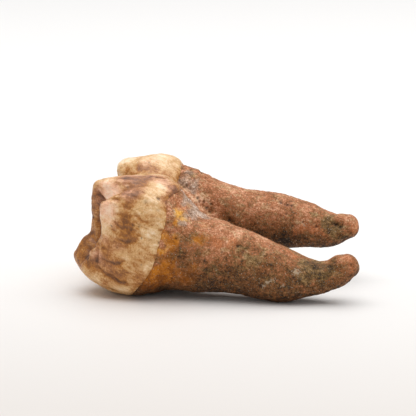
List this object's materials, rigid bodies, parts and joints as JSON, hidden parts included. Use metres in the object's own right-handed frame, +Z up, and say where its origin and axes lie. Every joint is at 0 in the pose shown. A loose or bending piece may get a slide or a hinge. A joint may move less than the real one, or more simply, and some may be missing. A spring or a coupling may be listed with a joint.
{
  "type": "fossil cave bear tooth",
  "caption": "Stained fossil molar with a low cusped crown and long tapering roots that part below the neck, lying on its side.",
  "frame": {"origin": "middle of the bounding box in X and Y, on the surface that the tooth lies on", "axes": "+X from the crown towards the root tips, +Y from the near root to the far root, +Z up from the surface"},
  "size_m": [0.0442, 0.028, 0.0193],
  "materials": {
    "root_dentine": "matt, fine grained, stained red-brown with olive and black specks",
    "crown_enamel": "satin to glossy enamel, cream to brown, streaked with stains"
  },
  "bodies": {
    "root": {"tooth": "root_dentine"}
  },
  "joints": []
}
